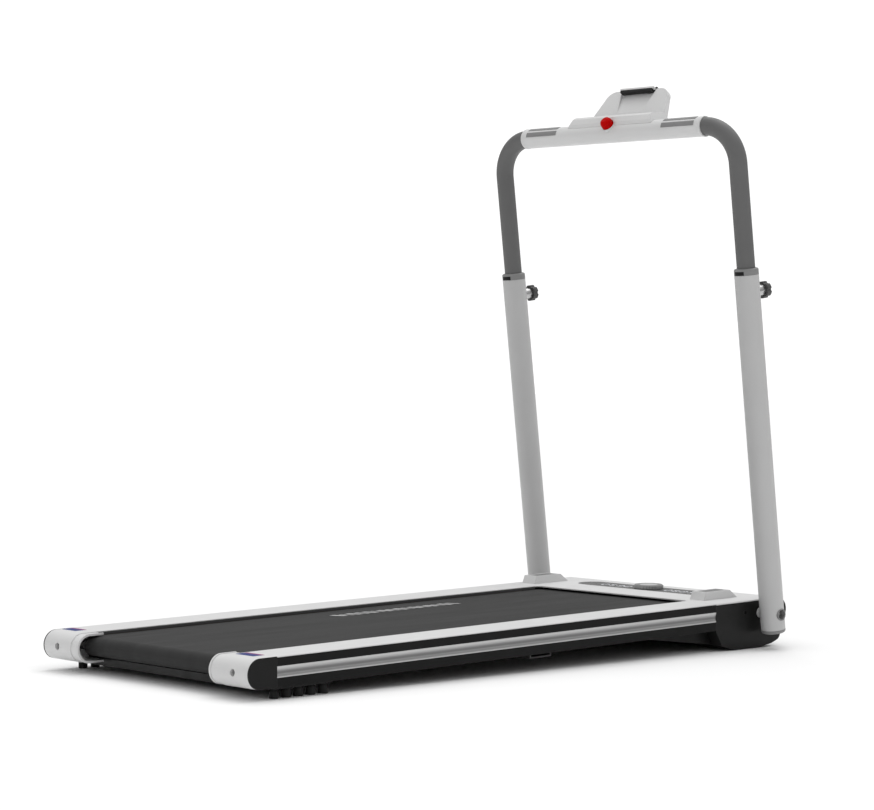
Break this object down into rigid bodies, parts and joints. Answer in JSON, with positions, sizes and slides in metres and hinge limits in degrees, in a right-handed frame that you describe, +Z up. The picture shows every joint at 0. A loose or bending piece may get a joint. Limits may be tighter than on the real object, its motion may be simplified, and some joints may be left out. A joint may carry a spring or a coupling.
{
  "type": "folding treadmill",
  "caption": "Low folding treadmill: belt deck between white foot rails, telescopic fold-down handrail with phone holder, safety key and motor housing with control dial.",
  "frame": {"origin": "on the floor, at the middle of the machine's length and width", "axes": "+X to the walker's right, +Y forward towards the handrail, +Z up"},
  "size_m": [0.7162, 1.4752, 1.1831],
  "materials": {
    "rail_black": "satin black anodised-look paint",
    "white_plastic": "satin white",
    "silver_trim": "brushed",
    "deck_wood": "waxed dark underside",
    "rubber": "moulded",
    "belt_rubber": "fine textured belt",
    "frame_paint": "powder coat",
    "steel": "turned",
    "black_plastic": "fine grain",
    "grey_plastic": "fine grain",
    "lens": "translucent grey",
    "black_oxide": "blackened screws",
    "dark_plastic": "fine grain",
    "board_green": "circuit board",
    "post_paint": "light grey satin paint",
    "grip_paint": "dark grey satin paint",
    "wheel_rubber": "hard rubber",
    "red_plastic": "gloss red",
    "copper": "wound armature"
  },
  "bodies": {
    "deck": {"side_rail_left": "rail_black", "side_rail_right": "rail_black", "rail_trim_left": "white_plastic", "rail_trim_right": "white_plastic", "rail_stripes": "silver_trim", "deck_board": "deck_wood", "deck_cushions": "rubber", "rear_cross_tube": "frame_paint", "mid_cross_member": "frame_paint", "front_frame": "frame_paint", "rear_cap_left": "white_plastic", "rear_cap_right": "white_plastic", "rear_cap_plate_left": "black_plastic", "rear_cap_plate_right": "black_plastic", "rear_pads_left": "rubber", "rear_pads_right": "rubber", "adjuster_bolts": "black_oxide", "running_belt": "belt_rubber", "rear_axle": "steel", "front_axle": "steel", "front_housing": "black_plastic", "belly_pan": "black_plastic", "motor_cover": "white_plastic", "speaker_grille_left": "grey_plastic", "speaker_grille_right": "grey_plastic", "speaker_drivers": "black_plastic", "display_lens": "lens", "display_board": "board_green", "motor_can": "frame_paint", "motor_bracket": "frame_paint", "drive_belt": "rubber", "control_board": "board_green", "power_inlet": "black_plastic", "pivot_bolts": "steel", "pivot_spacers": "post_paint", "front_feet": "rubber", "housing_screws": "black_oxide"},
    "rear_roller": {"rear_roller": "steel"},
    "front_roller": {"front_roller": "steel"},
    "motor_rotor": {"motor_rotor": "copper"},
    "transport_wheel_left": {"transport_wheel_left": "wheel_rubber"},
    "transport_wheel_right": {"transport_wheel_right": "wheel_rubber"},
    "speed_dial": {"speed_dial": "grey_plastic"},
    "power_switch": {"power_switch": "red_plastic"},
    "lower_handrail": {"lower_post_left": "post_paint", "lower_post_right": "post_paint", "post_foot_left": "grey_plastic", "post_foot_right": "grey_plastic", "post_collars": "grey_plastic", "knob_bosses": "steel"},
    "lock_knob_left": {"lock_knob_left": "dark_plastic"},
    "lock_knob_right": {"lock_knob_right": "dark_plastic"},
    "upper_handrail": {"grip_tube": "grip_paint", "handlebar_sleeve": "white_plastic", "pulse_sensors": "grey_plastic", "holder_base": "white_plastic", "key_socket": "white_plastic"},
    "holder_plate": {"holder_plate": "white_plastic"},
    "phone_clamp": {"phone_clamp": "white_plastic"},
    "safety_key": {"safety_key": "red_plastic"}
  },
  "joints": [
    {"name": "handrail_fold", "type": "hinge", "parent": "deck", "child": "lower_handrail", "pos_m": [0, 0.65045, 0.07393], "axis": [1, 0, 0], "range_deg": [0, 79]},
    {"name": "handrail_height", "type": "slide", "parent": "lower_handrail", "child": "upper_handrail", "axis": [0, -0.1416, 0.9899], "range_m": [-0.12, 0.08]},
    {"name": "lock_knob_left_pull", "type": "slide", "parent": "lower_handrail", "child": "lock_knob_left", "axis": [0, 0.9899, 0.1416], "range_m": [0, 0.008], "stiffness_N_per_m": 600, "springref_m": -0.004},
    {"name": "lock_knob_right_pull", "type": "slide", "parent": "lower_handrail", "child": "lock_knob_right", "axis": [0, 0.9899, 0.1416], "range_m": [0, 0.008], "stiffness_N_per_m": 600, "springref_m": -0.004},
    {"name": "holder_tilt", "type": "hinge", "parent": "upper_handrail", "child": "holder_plate", "pos_m": [0, 0.55542, 1.11436], "axis": [1, 0, 0], "range_deg": [-30, 35]},
    {"name": "phone_clamp_slide", "type": "slide", "parent": "holder_plate", "child": "phone_clamp", "axis": [0, 0.5278, 0.8494], "range_m": [0, 0.022], "stiffness_N_per_m": 200, "springref_m": -0.006},
    {"name": "safety_key_pull", "type": "slide", "parent": "upper_handrail", "child": "safety_key", "axis": [0, -0.7676, 0.6409], "range_m": [0, 0.03]},
    {"name": "motor_spin", "type": "hinge", "parent": "deck", "child": "motor_rotor", "pos_m": [0, 0.65062, 0.05003], "axis": [1, 0, 0], "continuous": true},
    {"name": "front_roller_spin", "type": "hinge", "parent": "deck", "child": "front_roller", "pos_m": [0, 0.54811, 0.07469], "axis": [1, 0, 0], "continuous": true},
    {"name": "rear_roller_spin", "type": "hinge", "parent": "deck", "child": "rear_roller", "pos_m": [0, -0.68964, 0.05002], "axis": [1, 0, 0], "continuous": true},
    {"name": "wheel_left_spin", "type": "hinge", "parent": "deck", "child": "transport_wheel_left", "pos_m": [-0.235, 0.69109, 0.02683], "axis": [1, 0, 0], "continuous": true},
    {"name": "wheel_right_spin", "type": "hinge", "parent": "deck", "child": "transport_wheel_right", "pos_m": [0.235, 0.69109, 0.02683], "axis": [1, 0, 0], "continuous": true},
    {"name": "speed_dial_turn", "type": "hinge", "parent": "deck", "child": "speed_dial", "pos_m": [-0.008, 0.64959, 0.10202], "axis": [0, -0.0199, 0.9998], "continuous": true},
    {"name": "power_rocker", "type": "hinge", "parent": "deck", "child": "power_switch", "pos_m": [-0.1, 0.72693, 0.04526], "axis": [1, 0, 0], "range_deg": [0, 16]}
  ],
  "couplings": [
    {"joint": "front_roller_spin", "follows": "motor_spin", "ratio": 0.55},
    {"joint": "rear_roller_spin", "follows": "motor_spin", "ratio": 0.55}
  ]
}
